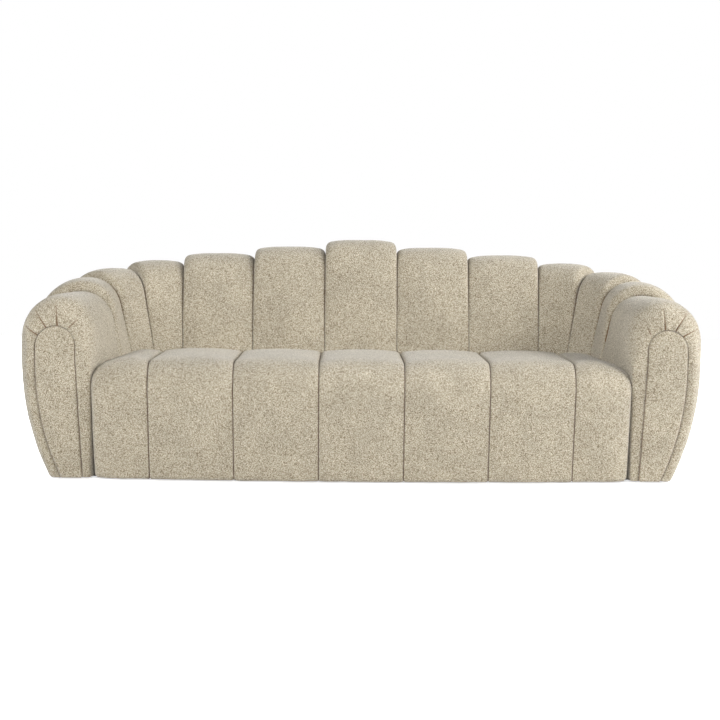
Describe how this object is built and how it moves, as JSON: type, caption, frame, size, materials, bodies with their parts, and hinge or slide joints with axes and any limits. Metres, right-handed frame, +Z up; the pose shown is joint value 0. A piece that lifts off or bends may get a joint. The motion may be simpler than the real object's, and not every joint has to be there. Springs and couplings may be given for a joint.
{
  "type": "curved channel sofa",
  "caption": "Low curved sofa with a scalloped back that steps down round the corners into padded arms, and a channelled seat that runs down the front to the floor.",
  "frame": {"origin": "on the floor, at the centre of the bounding box", "axes": "+X to the right as seen from the front, +Y from the seat's front to the back, +Z up"},
  "size_m": [2.376, 0.95, 0.824],
  "materials": {
    "boucle": "nubby looped oatmeal fabric, matt",
    "foam": "open-cell upholstery foam, matt",
    "plywood": "unfinished birch plywood",
    "beech": "unfinished sawn beech",
    "spring_steel": "oiled spring wire",
    "zinc_steel": "bright zinc plate",
    "deck_cloth": "woven deck cloth",
    "dust_cloth": "black non-woven cloth",
    "glide_plastic": "moulded nylon, matt"
  },
  "bodies": {
    "root": {"arm_facing_board_left": "plywood", "arm_facing_board_right": "plywood", "arm_facing_left": "boucle", "arm_facing_right": "boucle", "arm_level_plate": "plywood", "back_channel_foams": "foam", "back_cover_left_1": "boucle", "back_cover_left_2": "boucle", "back_cover_left_3": "boucle", "back_cover_left_4": "boucle", "back_cover_left_5": "boucle", "back_cover_left_6": "boucle", "back_cover_middle": "boucle", "back_cover_right_1": "boucle", "back_cover_right_2": "boucle", "back_cover_right_3": "boucle", "back_cover_right_4": "boucle", "back_cover_right_5": "boucle", "back_cover_right_6": "boucle", "base_plate": "plywood", "corner_blocks": "beech", "crest_rails": "beech", "dust_cover": "dust_cloth", "floor_glides": "glide_plastic", "glide_screws": "zinc_steel", "rib_left_1": "plywood", "rib_left_2": "plywood", "rib_left_3": "plywood", "rib_left_4": "plywood", "rib_left_5": "plywood", "rib_left_6": "plywood", "rib_middle": "plywood", "rib_right_1": "plywood", "rib_right_2": "plywood", "rib_right_3": "plywood", "rib_right_4": "plywood", "rib_right_5": "plywood", "rib_right_6": "plywood", "rib_screws": "zinc_steel", "seat_back_rail": "beech", "seat_bearer_left": "plywood", "seat_bearer_right": "plywood", "seat_channel_foams": "foam", "seat_cover_left_1": "boucle", "seat_cover_left_2": "boucle", "seat_cover_left_3": "boucle", "seat_cover_middle": "boucle", "seat_cover_right_1": "boucle", "seat_cover_right_2": "boucle", "seat_cover_right_3": "boucle", "seat_front_board": "plywood", "seat_level_plate": "plywood", "seat_springs": "spring_steel", "side_panel_left": "plywood", "side_panel_right": "plywood", "spring_clips": "zinc_steel", "spring_deck_cloth": "deck_cloth", "spring_tie_wires": "spring_steel"}
  },
  "joints": []
}
